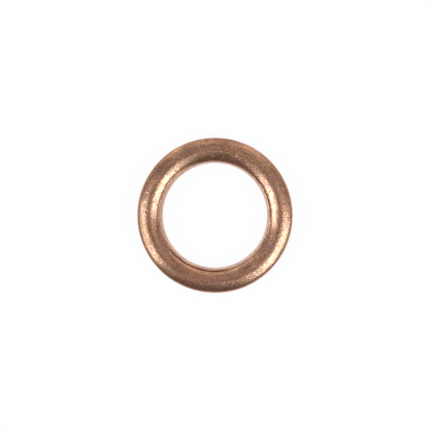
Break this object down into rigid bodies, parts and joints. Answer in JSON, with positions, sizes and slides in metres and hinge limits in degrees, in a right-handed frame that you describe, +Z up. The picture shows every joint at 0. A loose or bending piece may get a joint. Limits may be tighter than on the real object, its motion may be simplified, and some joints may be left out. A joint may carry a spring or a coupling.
{
  "type": "crush washer",
  "caption": "Hollow ring folded from copper sheet, with a domed crown, a flat seat and a seamed lip round the bore; seals a threaded plug or banjo bolt.",
  "frame": {"origin": "on the bore's axis, in the plane of the flat seat", "axes": "+Z up along the bore's axis, from the seat to the crown; +X and +Y lie in the plane of the seat, and the ring is the same all round"},
  "size_m": [0.018, 0.018, 0.002],
  "materials": {
    "copper": "annealed copper sheet, satin, with a thin brown tarnish and fine tumbling marks"
  },
  "bodies": {
    "root": {"washer": "copper"}
  },
  "joints": []
}
